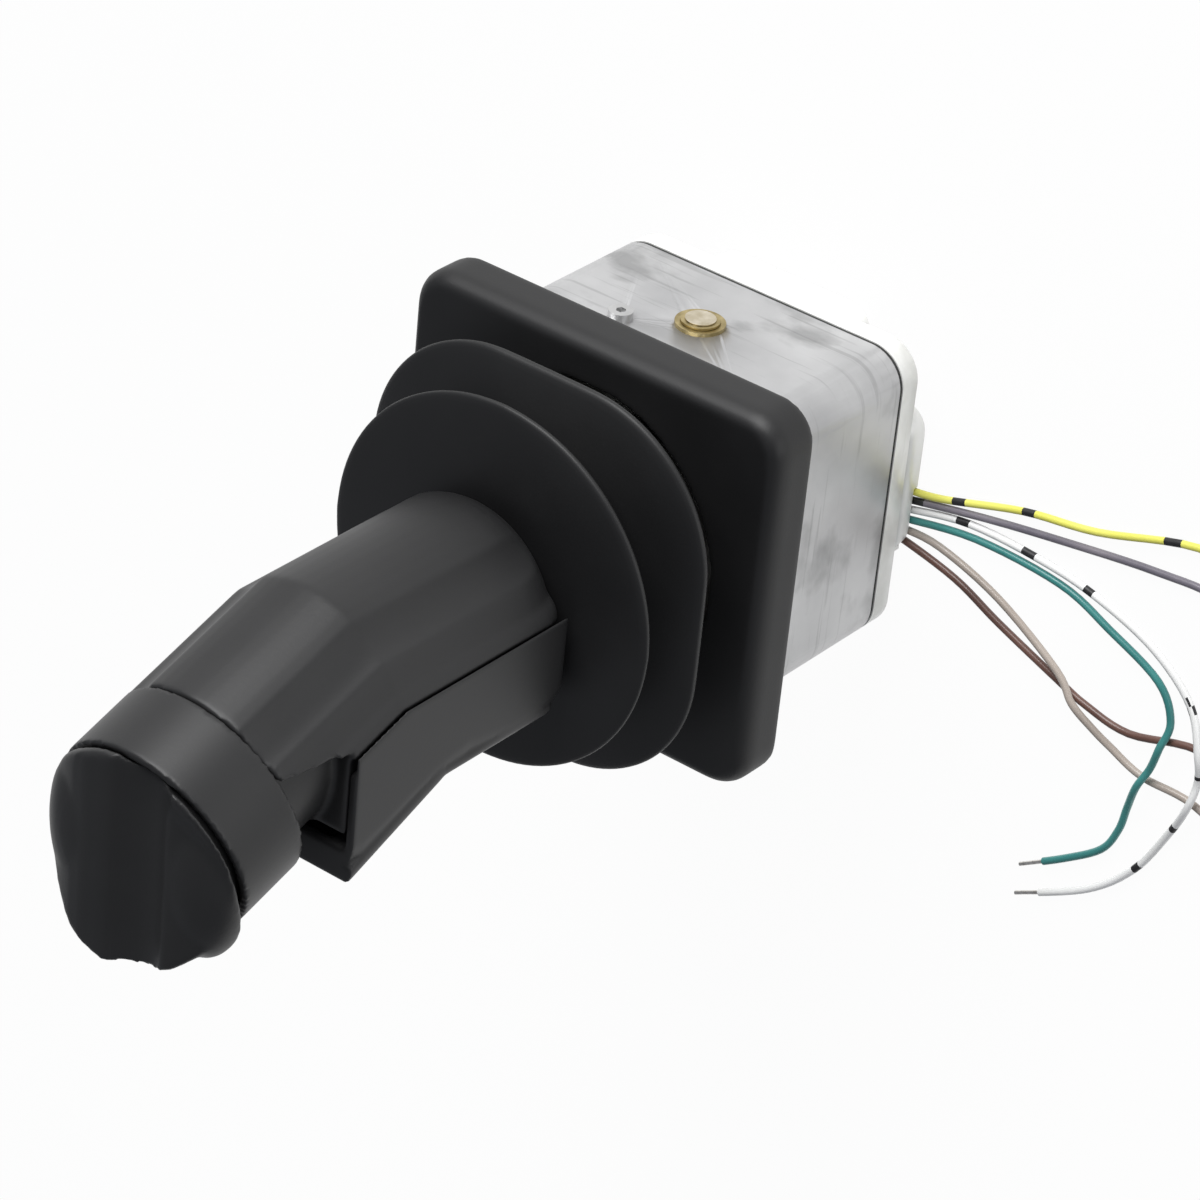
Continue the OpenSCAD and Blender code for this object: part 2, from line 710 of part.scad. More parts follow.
module trigger() {
  pts = trigger_front;
  last = len(pts) - 1;
  high = trig_high + 1;
  rings = [for (p = pts) let (r = 4 + 5 * (p[0] - trig_low) / (trig_high - trig_low))
    ring(flap_x, -p[1], grip_c(p[0]) + lip_rear, r, 0.3, p[0], 5)];
  core_low = grip_y - core_front - 0.6;
  core_mid = grip_y - core_front - press_room(core_bend_z);
  core_high = grip_c(high) - core_front / cos(bend) - press_room(high);
  behind = [[core_low, trig_low - 1], [core_low, trig_pin_z], [core_mid, core_bend_z],
    [core_high, high], [20, high], [20, trig_low - 1]];
  hollow = concat(
    [for (i = [1:last - 1]) [-pts[i][1] + trig_skin, pts[i][0] + (i == 1 ? 0.6 : 0)]],
    [[-pts[last][1] + trig_skin, trig_high - 2], [core_high + 4, trig_high - 2],
     [core_mid + 4, core_bend_z], [core_low + 4, trig_pin_z], [core_low + 4, trig_low + 2]]);
  lip = [[grip_y, trig_low - 1], [grip_y, bend_z], [grip_c(high), high], [20, high], [20, trig_low - 1]];
  color("dimgray") difference() {
    loft(rings);
    across(flap_in, behind);
    across(19, hollow);
    across(lip_in, lip);
    translate([-flap_x + 0.8, trig_pin_y, trig_pin_z]) rotate([0, 90, 0])
      cylinder(d = trig_pin_d + 2 * run_gap, h = 2 * flap_x - 1.6);
  }
}

module trigger_pin() {
  color("silver") translate([-flap_x + 1, trig_pin_y, trig_pin_z]) rotate([0, 90, 0])
    cylinder(d = trig_pin_d, h = 2 * flap_x - 2);
}

module trigger_spring() {
  spring_z = 69;
  y0 = grip_y - core_front - 0.4;
  y1 = trig_skin + 0.4 - lookup(spring_z + 3, trigger_front);
  turns = 3;
  steps = 10;
  path = [for (i = [0:turns * steps]) let (a = 360 * i / steps)
    [2.6 * cos(a), y0 + (y1 - y0) * i / turns / steps, spring_z + 2.6 * sin(a)]];
  color("silver") tube(path, 0.35, 6, [0, 1, 0]);
}

module trigger_switch() {
  y0 = grip_y - core_front - 0.05;
  color("black") {
    translate([-6.4, y0 - 3.2, core_bend_z - 8.5]) cube([12.8, 3.2, 8]);
    translate([-1.5, y0 - 4.5, core_bend_z - 5]) cube([3, 2, 3]);
  }
}

// ---- gaiter ----

module gaiter_skirt() {
  w = plate_w + 2 * skirt_wrap;
  d = plate_d + 2 * skirt_wrap;
  r = plate_corner;
  color([0.1, 0.1, 0.1]) difference() {
    hull() {
      translate([0, 0, skirt_low]) rounded_block(w - 0.8, d - 0.8, 1, r - 0.4, $fn = 32);
      translate([0, 0, skirt_low + 0.8]) rounded_block(w, d, skirt_top - skirt_low - 4, r, $fn = 32);
      translate([0, 0, skirt_top - 1.4]) rounded_block(w - 2.4, d - 2.4, 0.4, r - 1, $fn = 32);
      translate([0, 0, skirt_top - 0.4]) rounded_block(w - 5, d - 5, 0.4, r - 2, $fn = 32);
    }
    translate([0, 0, -1]) rounded_block(plate_w + 0.2, plate_d + 0.2, plate_t + 1, plate_corner + 0.1);
    rounded_block(plate_w - 2 * skirt_shelf, plate_d - 2 * skirt_shelf, skirt_top - 3, r - skirt_shelf);
    translate([0, 0, skirt_top - 5]) cylinder(r = 36, h = 10);
  }
}

// Rings for the gaiter: half width, corner radius and height of each profile point
function fold_ring(p) = ring(p[0], -p[0], p[0], p[1], p[1], p[2], 9);

module gaiter_lower() {
  t = rubber_t;
  f = fold_half;
  outer = [[38, 38, skirt_top + gap], [33, 33, skirt_top + 2.5], [33, 32.5, fold_z - 7],
    [f - 3, 34, fold_z - 2.6], [f, 34, fold_z - 0.6], [f, 34, fold_z + 0.6],
    [f - 3, 34, fold_z + 2], [31, 31, valley_z]];
  inner = [[31 - t, 31 - t, valley_z], [f - 4.5, 33, fold_z + 0.2], [f - 4.5, 33, fold_z - 0.4],
    [33 - t, 32.5 - t, fold_z - 6], [33 - t, 33 - t, skirt_top + 2.5], [35.5, 35.5, skirt_top + gap]];
  color([0.08, 0.08, 0.08]) wrap([for (p = concat(outer, inner)) fold_ring(p)]);
}

module gaiter_upper() {
  t = rubber_t;
  d = disc_r;
  z0 = valley_z + gap;
  outer = [[31, 31, z0], [d - 3, d - 3, disc_z - 2.4], [d, d, disc_z - 0.6], [d, d, disc_z + 0.6],
    [d - 3, d - 3, disc_z + 1.4], [26, 26, disc_z + 2.6], [shaft_d / 2 + 3, shaft_d / 2 + 3, disc_z + 3.6]];
  inner = [[shaft_d / 2 + 0.2, shaft_d / 2 + 0.2, disc_z + 3.6],
    [shaft_d / 2 + 0.2, shaft_d / 2 + 0.2, disc_z - 2.5], [shaft_d / 2 + 3, shaft_d / 2 + 3, disc_z - 2.5],
    [24, 24, disc_z + 0.4], [d - 4.5, d - 4.5, disc_z - 0.4], [31 - t, 31 - t, z0]];
  color([0.08, 0.08, 0.08]) wrap([for (p = concat(outer, inner)) fold_ring(p)]);
}

// ---- leads ----
// Routes as x, y and height above the bench rest of a lead, in millimetres

route_yellow = [[46, -2, 0], [67, 4, 0], [86, 7, 0], [111, 14, 0], [130, 12, 0], [150, 0, 0],
  [164, -14, 0]];
route_grey = [[57, -2, 0], [77, 1, 0], [102, 4, 0], [120, 4, 0], [138, -5, 0], [150, -20, 0]];
route_white = [[54, -5, 0], [75, -6, 0], [90, -9, 0], [105, -15, 0], [116, -24, 0.4], [121, -34, 2.4],
  [121.5, -41, 1.4], [120.5, -48, 2.4], [116, -58, 0.2], [109, -71, 0], [98, -82, 0], [80, -92, 0]];
route_green = [[56, -8, 0], [79, -9.5, 0], [93, -15, 0], [107, -22, 0], [112, -30, 0.6],
  [111.3, -36.5, 2.5], [109.5, -43, 1.8], [107.3, -48.5, 2.5], [105, -56, 0.6], [103.5, -63, 0],
  [100, -70, 0], [91, -77, 0], [80, -84, 0]];
route_beige = [[47, -14, 0], [64, -20, 0], [82, -30, 1.2], [88, -35.5, 2.6], [93, -40, 1.2],
  [98, -43.5, 0], [107, -47, 0], [121, -48, 0], [136, -56, 0], [146, -72, 0]];
route_brown = [[52, -20, 0], [65, -26, 0], [82, -33, 0], [90, -36, 0], [102, -38, 0], [120, -34, 0],
  [140, -38, 0], [156, -50, 0]];

module lead(row, route) {
  y0 = channel_y + (2.5 - row) * lead_pitch;
  start = [[lead_x, y0, lead_z], [lead_x + 8, y0, lead_z], [box_w / 2 - 4, y0, lead_z]];
  path = spline(concat(start, [for (p = route) [p[0], p[1], floor_z + p[2]]]), 2);
  tube(path, lead_d / 2, 8, [0, 0, 1]);
}

module lead_yellow() { color("yellow") lead(0, route_yellow); }
module lead_grey() { color("slategray") lead(1, route_grey); }
module lead_white() { color("white") lead(2, route_white); }
module lead_green() { color("teal") lead(3, route_green); }
module lead_beige() { color("tan") lead(4, route_beige); }
module lead_brown() { color("saddlebrown") lead(5, route_brown); }

mounting_plate();
housing();
plate_screws();
side_screw();
gate_plate();
gate_screws();
pivot_bushes();
yoke();
trunnion_pins();
retaining_rings();
cross_pin();
sensor_x();
sensor_y();
lever_shaft();
plunger();
plunger_spring();
cam_dish();
lead_board();
board_screws();
gasket();
rear_cover();
cover_screws();
lead_grommet();
lead_yellow();
lead_grey();
lead_white();
lead_green();
lead_beige();
lead_brown();
gaiter_skirt();
gaiter_lower();
gaiter_upper();
grip_body();
grip_nut();
head_cap();
cap_screws();
thumb_rocker();
rocker_pin();
rocker_switches();
trigger();
trigger_pin();
trigger_spring();
trigger_switch();
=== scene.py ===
import math

import bpy
from mathutils import Matrix, Vector


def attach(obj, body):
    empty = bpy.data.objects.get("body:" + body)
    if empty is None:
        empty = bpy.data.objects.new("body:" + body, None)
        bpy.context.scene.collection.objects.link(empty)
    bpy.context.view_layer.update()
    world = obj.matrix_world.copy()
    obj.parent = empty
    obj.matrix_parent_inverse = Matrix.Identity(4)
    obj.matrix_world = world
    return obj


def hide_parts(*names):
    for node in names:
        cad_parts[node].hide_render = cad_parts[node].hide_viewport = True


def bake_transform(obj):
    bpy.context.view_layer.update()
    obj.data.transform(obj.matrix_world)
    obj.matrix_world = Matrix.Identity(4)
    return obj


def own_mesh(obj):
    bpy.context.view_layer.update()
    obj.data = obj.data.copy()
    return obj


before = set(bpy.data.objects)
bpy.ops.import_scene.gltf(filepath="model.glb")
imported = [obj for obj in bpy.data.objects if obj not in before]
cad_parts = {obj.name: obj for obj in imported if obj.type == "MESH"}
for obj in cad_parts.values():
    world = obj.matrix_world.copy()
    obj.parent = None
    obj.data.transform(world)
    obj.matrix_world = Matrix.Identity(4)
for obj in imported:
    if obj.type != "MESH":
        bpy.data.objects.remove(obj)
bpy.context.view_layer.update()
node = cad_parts

# ---------------------------------------------------------------------------
# Camera: a long lens looks down on the grip's head from the lead side, so that
# the lever runs towards the lower left and the housing sits behind it.

camera_data = bpy.data.cameras.new("camera")
camera_data.lens = 147.4
camera_data.sensor_width = 36
camera_data.clip_end = 10
camera = bpy.data.objects.new("camera", camera_data)
bpy.context.scene.collection.objects.link(camera)
bpy.context.scene.camera = camera
right = Vector((0.77983, 0.08683, -0.61994))
up = Vector((-0.38332, 0.84918, -0.36325))
back = Vector((0.49490, 0.52091, 0.69550))
turn = Matrix((right, up, back)).transposed()
camera.matrix_world = Matrix.Translation((0.53707, 0.54282, 0.75670)) @ turn.to_4x4()

# ---------------------------------------------------------------------------
# Leads: six PVC insulated stranded wires, 1.8 mm across. They leave the rubber
# grommet side by side under the rear cover and lie loosely on the bench. Three
# carry black printed marks, and all are stripped at the end.

LEAD_D = 0.0018
BENCH = -0.0615
GROMMET_END = 0.024
ROW_MIDDLE_MM, ROW_PITCH_MM = -9.5, 2.5
LEAD_START = BENCH + 0.0013
LEAD_REST = BENCH + 0.00095
STRIP = 0.007
STRAND_D = 0.0010


def fresh_material(name, color, roughness, metallic=0.0):
    material = bpy.data.materials.new(name)
    material.use_nodes = True
    shader = material.node_tree.nodes["Principled BSDF"]
    shader.inputs["Base Color"].default_value = (*color, 1)
    shader.inputs["Roughness"].default_value = roughness
    shader.inputs["Metallic"].default_value = metallic
    return material


def varied(material, scale, low, high, rough=None, bump=0.0, bump_scale=None,
           stretch=(1, 1, 1), detail=4):
    """Colour, roughness and bump of a material from noise in the object's own space."""
    nodes, links = material.node_tree.nodes, material.node_tree.links
    shader = nodes["Principled BSDF"]
    place = nodes.new("ShaderNodeTexCoord")
    mapping = nodes.new("ShaderNodeMapping")
    mapping.inputs["Scale"].default_value = stretch
    links.new(place.outputs["Object"], mapping.inputs["Vector"])
    noise = nodes.new("ShaderNodeTexNoise")
    noise.inputs["Scale"].default_value = scale
    noise.inputs["Detail"].default_value = detail
    links.new(mapping.outputs["Vector"], noise.inputs["Vector"])
    ramp = nodes.new("ShaderNodeValToRGB")
    ramp.color_ramp.elements[0].position = 0.3
    ramp.color_ramp.elements[1].position = 0.7
    ramp.color_ramp.elements[0].color = (*low, 1)
    ramp.color_ramp.elements[1].color = (*high, 1)
    links.new(noise.outputs["Fac"], ramp.inputs["Fac"])
    links.new(ramp.outputs["Color"], shader.inputs["Base Color"])
    if rough:
        spread = nodes.new("ShaderNodeMapRange")
        spread.inputs["To Min"].default_value = rough[0]
        spread.inputs["To Max"].default_value = rough[1]
        links.new(noise.outputs["Fac"], spread.inputs["Value"])
        links.new(spread.outputs["Result"], shader.inputs["Roughness"])
    if bump:
        grain = nodes.new("ShaderNodeTexNoise")
        grain.inputs["Scale"].default_value = bump_scale
        grain.inputs["Detail"].default_value = 3
        links.new(mapping.outputs["Vector"], grain.inputs["Vector"])
        relief = nodes.new("ShaderNodeBump")
        relief.inputs["Strength"].default_value = bump
        relief.inputs["Distance"].default_value = 0.0003
        links.new(grain.outputs["Fac"], relief.inputs["Height"])
        links.new(relief.outputs["Normal"], shader.inputs["Normal"])
    return material


def curve_through(points, steps):
    """Points of a smooth curve that passes through each given point."""
    out = []
    for i in range(len(points) - 1):
        a = Vector(points[max(i - 1, 0)])
        b, c = Vector(points[i]), Vector(points[i + 1])
        d = Vector(points[min(i + 2, len(points) - 1)])
        for k in range(steps):
            t = k / steps
            out.append(0.5 * (2 * b + (c - a) * t + (2 * a - 5 * b + 4 * c - d) * t * t
                              + (3 * b - a - 3 * c + d) * t * t * t))
    return out + [Vector(points[-1])]


def cut_back(path, amount):
    """The path without its last stretch, and that stretch."""
    tail = [path[-1]]
    kept = list(path)
    left = amount
    while left > 0:
        step = (kept[-1] - kept[-2]).length
        if step > left:
            end = kept[-1].lerp(kept[-2], left / step)
            kept[-1] = end
            tail.append(end)
            break
        left -= step
        kept.pop()
        tail.append(kept[-1])
    return kept, tail[::-1]


def wire(name, path, diameter, resolution=3):
    """A round mesh tube along a path, with closed ends."""
    bpy.ops.object.select_all(action="DESELECT")
    curve = bpy.data.curves.new(name, "CURVE")
    curve.dimensions = "3D"
    curve.bevel_depth = diameter / 2
    curve.bevel_resolution = resolution
    curve.use_fill_caps = True
    spline = curve.splines.new("POLY")
    spline.points.add(len(path) - 1)
    for point, place in zip(spline.points, path):
        point.co = (*place, 1)
    tube = bpy.data.objects.new(name, curve)
    bpy.context.scene.collection.objects.link(tube)
    tube.select_set(True)
    bpy.context.view_layer.objects.active = tube
    bpy.ops.object.convert(target="MESH")
    tube = bpy.context.view_layer.objects.active
    tube.name = name
    bpy.ops.object.shade_smooth_by_angle(angle=math.radians(50))
    return tube


def insulation(name, low, high):
    material = fresh_material(name, high, 0.38)
    material.node_tree.nodes["Principled BSDF"].inputs["Coat Weight"].default_value = 0.15
    return varied(material, 60, low, high, rough=(0.34, 0.46), bump=0.05, bump_scale=900)


print_ink = varied(fresh_material("print_ink", (0.01, 0.01, 0.012), 0.5), 400,
                   (0.008, 0.008, 0.009), (0.02, 0.02, 0.022))
tinned = varied(fresh_material("tinned_strand", (0.75, 0.73, 0.7), 0.3, 1.0), 700,
                (0.6, 0.57, 0.52), (0.85, 0.83, 0.8), rough=(0.2, 0.4), bump=0.4, bump_scale=2500)

# Each route is in mm from the lever's axis and above the bench; marks give the first
# mark, the pitch and the mark's length in metres.
leads = {
    "yellow": dict(row=0, marks=(0.0253, 0.0187, 0.0019), low=(0.72, 0.70, 0.10), high=(0.86, 0.84, 0.18),
                   route=((46, -2, 0), (67, 4, 0), (86, 7, 0), (111, 14, 0), (130, 12, 0), (150, 0, 0),
                          (164, -14, 0))),
    "grey": dict(row=1, marks=(0.0146, 0.021, 0.0018), low=(0.13, 0.12, 0.15), high=(0.22, 0.20, 0.23),
                 route=((57, -2, 0), (77, 1, 0), (102, 4, 0), (120, 4, 0), (138, -5, 0), (150, -20, 0))),
    "white": dict(row=2, marks=(0.0285, 0.0169, 0.0021), low=(0.84, 0.84, 0.82), high=(0.93, 0.93, 0.92),
                  route=((54, -5, 0), (75, -6, 0), (90, -9, 0), (105, -15, 0), (116, -24, 0.4),
                         (121, -34, 2.4), (121.5, -41, 1.4), (120.5, -48, 2.4), (116, -58, 0.2),
                         (109, -71, 0), (98, -82, 0), (80, -92, 0))),
    "green": dict(row=3, marks=None, low=(0.03, 0.19, 0.18), high=(0.06, 0.28, 0.26),
                  route=((56, -8, 0), (79, -9.5, 0), (93, -15, 0), (107, -22, 0), (112, -30, 0.6),
                         (111.3, -36.5, 2.5), (109.5, -43, 1.8), (107.3, -48.5, 2.5), (105, -56, 0.6),
                         (103.5, -63, 0), (100, -70, 0), (91, -77, 0), (80, -84, 0))),
    "beige": dict(row=4, marks=None, low=(0.34, 0.29, 0.25), high=(0.46, 0.40, 0.35),
                  route=((47, -14, 0), (64, -20, 0), (82, -30, 1.2), (88, -35.5, 2.6), (93, -40, 1.2),
                         (98, -43.5, 0), (107, -47, 0), (121, -48, 0), (136, -56, 0), (146, -72, 0))),
    "brown": dict(row=5, marks=None, low=(0.09, 0.045, 0.035), high=(0.17, 0.085, 0.065),
                  route=((52, -20, 0), (65, -26, 0), (82, -33, 0), (90, -36, 0), (102, -38, 0), (120, -34, 0),
                         (140, -38, 0), (156, -50, 0))),
}

for colour, lead in leads.items():
    y = (ROW_MIDDLE_MM + (2.5 - lead["row"]) * ROW_PITCH_MM) / 1000
    start = [(GROMMET_END, y, LEAD_START), (GROMMET_END + 0.008, y, LEAD_START), (0.036, y, LEAD_START)]
    points = start + [(px / 1000, py / 1000, LEAD_REST + pz / 1000) for px, py, pz in lead["route"]]
    whole = curve_through(points, 6)
    path, tail = cut_back(whole, STRIP)
    sleeve = wire("lead_wire_" + colour, path, LEAD_D)
    sleeve.data.materials.append(insulation(colour + "_insulation", lead["low"], lead["high"]))
    sleeve.data.materials.append(print_ink)
    if lead["marks"]:
        first, pitch, size = lead["marks"]
        along = [0.0]
        for a, b in zip(path, path[1:]):
            along.append(along[-1] + (b - a).length)
        for face in sleeve.data.polygons:
            near = min(range(len(path)), key=lambda i: (path[i] - face.center).length)
            place = along[near] + (face.center - path[near]).dot(
                (path[min(near + 1, len(path) - 1)] - path[max(near - 1, 0)]).normalized())
            if place > first and (place - first) % pitch < size:
                face.material_index = 1
    tip = wire("bare_tip_" + colour, tail[:-1] + [tail[-1].lerp(tail[-2], 0.02)], STRAND_D, 2)
    tip.data.materials.append(tinned)
    for piece in (sleeve, tip):
        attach(piece, "base")
    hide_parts("lead_" + colour)

# ---------------------------------------------------------------------------
# Metal pieces that keep their turned or stamped shape: mounting plate, gate,
# screws, bushes, pins and shaft. Each gets the finish of its plating.

zinc_plate = varied(fresh_material("zinc_plate", (0.6, 0.6, 0.58), 0.35, 1.0), 40,
                    (0.50, 0.50, 0.48), (0.66, 0.66, 0.64), rough=(0.28, 0.48), bump=0.08, bump_scale=500,
                    stretch=(1, 6, 1))
bright_steel = varied(fresh_material("bright_steel", (0.62, 0.62, 0.62), 0.3, 1.0), 120,
                      (0.52, 0.52, 0.52), (0.7, 0.7, 0.7), rough=(0.22, 0.38), bump=0.05, bump_scale=900)
turned_steel = varied(fresh_material("turned_steel", (0.6, 0.6, 0.6), 0.28, 1.0), 90,
                      (0.5, 0.5, 0.5), (0.7, 0.7, 0.7), rough=(0.2, 0.35), bump=0.15, bump_scale=900,
                      stretch=(0.1, 0.1, 4))
yellow_zinc = varied(fresh_material("yellow_zinc", (0.45, 0.36, 0.18), 0.36, 1.0), 300,
                     (0.26, 0.20, 0.08), (0.56, 0.46, 0.24), rough=(0.28, 0.5), bump=0.1, bump_scale=1500)
pin_metal = varied(fresh_material("pin_metal", (0.62, 0.55, 0.4), 0.35, 1.0), 350,
                   (0.50, 0.43, 0.29), (0.74, 0.68, 0.56), rough=(0.25, 0.5), bump=0.12, bump_scale=1200)
black_casting = varied(fresh_material("black_casting", (0.05, 0.05, 0.052), 0.55, 0.6), 80,
                       (0.035, 0.035, 0.037), (0.07, 0.07, 0.072), rough=(0.45, 0.65),
                       bump=0.2, bump_scale=700)
black_moulding = varied(fresh_material("black_moulding", (0.02, 0.02, 0.02), 0.4), 90,
                        (0.014, 0.014, 0.015), (0.028, 0.028, 0.03), rough=(0.35, 0.5),
                        bump=0.1, bump_scale=900)
natural_moulding = varied(fresh_material("natural_moulding", (0.7, 0.67, 0.58), 0.4), 60,
                          (0.62, 0.59, 0.5), (0.74, 0.72, 0.64), rough=(0.35, 0.5), bump=0.05, bump_scale=700)
board_lacquer = varied(fresh_material("board_lacquer", (0.02, 0.16, 0.08), 0.3), 150,
                       (0.012, 0.10, 0.05), (0.03, 0.2, 0.1), rough=(0.22, 0.4), bump=0.05, bump_scale=800)
gasket_paper = varied(fresh_material("gasket_paper", (0.02, 0.02, 0.02), 0.7), 200,
                      (0.012, 0.012, 0.012), (0.03, 0.03, 0.03), rough=(0.6, 0.8), bump=0.1, bump_scale=1200)


def finish_nodes(material, *names):
    for name in names:
        data = node[name].data
        data.materials.clear()
        data.materials.append(material)


finish_nodes(zinc_plate, "mounting_plate", "gate_plate")
finish_nodes(bright_steel, "plate_screws", "gate_screws", "cover_screws", "board_screws", "side_screw",
             "cap_screws", "grip_nut", "trigger_pin", "rocker_pin", "plunger_spring", "trigger_spring")
finish_nodes(turned_steel, "lever_shaft", "cross_pin")
finish_nodes(yellow_zinc, "pivot_bushes", "retaining_rings", "plunger")
finish_nodes(pin_metal, "trunnion_pins")
finish_nodes(black_casting, "yoke")
finish_nodes(black_moulding, "sensor_x", "sensor_y", "trigger_switch", "rocker_switches", "lead_grommet")
finish_nodes(natural_moulding, "cam_dish")
finish_nodes(board_lacquer, "lead_board")
finish_nodes(gasket_paper, "gasket")

# ---------------------------------------------------------------------------
# Housing and rear cover: two aluminium die castings, left bare. Their edges are
# rounded by the mould, and handling has stained and polished them in patches.


def only(piece):
    bpy.ops.object.select_all(action="DESELECT")
    piece.select_set(True)
    bpy.context.view_layer.objects.active = piece


def apply_modifiers(piece):
    only(piece)
    for modifier in list(piece.modifiers):
        bpy.ops.object.modifier_apply(modifier=modifier.name)


def copy_of(name, new_name):
    """A merged copy of a CAD node as a new piece, free of its body."""
    piece = node[name].copy()
    piece.data = node[name].data.copy()
    piece.name = new_name
    for key in list(piece.keys()):
        del piece[key]
    piece.parent = None
    bpy.context.scene.collection.objects.link(piece)
    only(piece)
    bpy.ops.object.mode_set(mode="EDIT")
    bpy.ops.mesh.select_all(action="SELECT")
    bpy.ops.mesh.remove_doubles(threshold=0.000002)
    bpy.ops.object.mode_set(mode="OBJECT")
    return piece


def round_edges(piece, width):
    """Merges flat faces, then rounds each edge that is sharper than 28 degrees."""
    only(piece)
    bpy.ops.object.mode_set(mode="EDIT")
    bpy.ops.mesh.select_all(action="SELECT")
    bpy.ops.mesh.dissolve_limited(angle_limit=math.radians(2))
    bpy.ops.object.mode_set(mode="OBJECT")
    bevel = piece.modifiers.new("edge", "BEVEL")
    bevel.width = width
    bevel.segments = 2
    bevel.limit_method = "ANGLE"
    bevel.angle_limit = math.radians(28)
    bevel.harden_normals = True
    apply_modifiers(piece)
    bpy.ops.object.shade_smooth_by_angle(angle=math.radians(35))


def casting_metal(name, low, high, stain, metallic):
    """Bare die casting: cloudy metal with darker stains and fine handling scratches."""
    material = varied(fresh_material(name, high, 0.42, metallic), 30, low, high, rough=(0.3, 0.52),
                      bump=0.12, bump_scale=260, detail=7)
    nodes, links = material.node_tree.nodes, material.node_tree.links
    shader = nodes["Principled BSDF"]
    cloud = shader.inputs["Base Color"].links[0].from_socket
    place = nodes.new("ShaderNodeTexCoord")
    stains = (38, (1, 1, 1.6), 0.56, 0.68, 0.55)
    scratches = (30, (1, 1, 22), 0.6, 0.68, 0.3)
    for scale, stretch, start, end, share in (stains, scratches):
        mapping = nodes.new("ShaderNodeMapping")
        mapping.inputs["Scale"].default_value = stretch
        mapping.inputs["Rotation"].default_value = (0.5, 0.9, 0.3)
        links.new(place.outputs["Object"], mapping.inputs["Vector"])
        noise = nodes.new("ShaderNodeTexNoise")
        noise.inputs["Scale"].default_value = scale
        noise.inputs["Detail"].default_value = 5
        links.new(mapping.outputs["Vector"], noise.inputs["Vector"])
        cover = nodes.new("ShaderNodeMapRange")
        cover.inputs["From Min"].default_value = start
        cover.inputs["From Max"].default_value = end
        cover.inputs["To Max"].default_value = share
        links.new(noise.outputs["Fac"], cover.inputs["Value"])
        mix = nodes.new("ShaderNodeMix")
        mix.data_type = "RGBA"
        links.new(cover.outputs["Result"], mix.inputs["Factor"])
        links.new(cloud, mix.inputs["A"])
        mix.inputs["B"].default_value = (*stain, 1)
        cloud = mix.outputs["Result"]
    links.new(cloud, shader.inputs["Base Color"])
    return material


CASTING_EDGE = 0.0007
cast_metal = casting_metal("cast_metal", (0.43, 0.43, 0.435), (0.64, 0.64, 0.64), (0.2, 0.2, 0.2), 0.75)
cover_metal = casting_metal("cover_metal", (0.80, 0.80, 0.77), (0.94, 0.94, 0.92), (0.62, 0.62, 0.58), 0.3)
for name, new_name, metal, slot in (("housing", "housing_casting", cast_metal, "cast_housing"),
                                    ("rear_cover", "cover_casting", cover_metal, "cast_cover")):
    casting = copy_of(name, new_name)
    casting.data.materials.clear()
    casting.data.materials.append(metal)
    round_edges(casting, CASTING_EDGE)
    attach(casting, "base")
    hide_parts(name)

# ---------------------------------------------------------------------------
# Gaiter skirt: the thick moulded rubber lip that is stretched over the plate's
# edge and screwed down with it. Its front is softly rounded.

rubber = varied(fresh_material("gaiter_rubber", (0.006, 0.006, 0.0065), 0.5), 30,
                (0.0045, 0.0045, 0.005), (0.008, 0.008, 0.0085), rough=(0.46, 0.58),
                bump=0.06, bump_scale=1400)


def soften(piece, voxel, passes):
    """Wraps the piece in one even skin and relaxes it, so that its edges are soft."""
    remesh = piece.modifiers.new("skin", "REMESH")
    remesh.mode = "VOXEL"
    remesh.voxel_size = voxel
    remesh.use_smooth_shade = True
    smooth = piece.modifiers.new("relax", "SMOOTH")
    smooth.factor = 0.5
    smooth.iterations = passes
    apply_modifiers(piece)
    bpy.ops.object.shade_smooth()


skirt = copy_of("gaiter_skirt", "skirt_moulding")
skirt.data.materials.clear()
skirt.data.materials.append(rubber)
soften(skirt, 0.0009, 10)
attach(skirt, "base")
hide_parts("gaiter_skirt")

# ---------------------------------------------------------------------------
# Gaiter bellows: thin moulded rubber in two folds, a rounded square one over the
# skirt and a round one under the grip.

ARC = 14


def ring(half, corner, z):
    """Adds one rounded square edge loop to the mesh being edited."""
    bpy.ops.mesh.select_all(action="DESELECT")
    bpy.ops.mesh.primitive_plane_add(size=2 * half, location=(0, 0, z))
    bpy.ops.mesh.bevel(offset=min(corner, half * 0.9995), segments=ARC, affect="VERTICES",
                       clamp_overlap=False)
    bpy.ops.mesh.delete(type="ONLY_FACE")


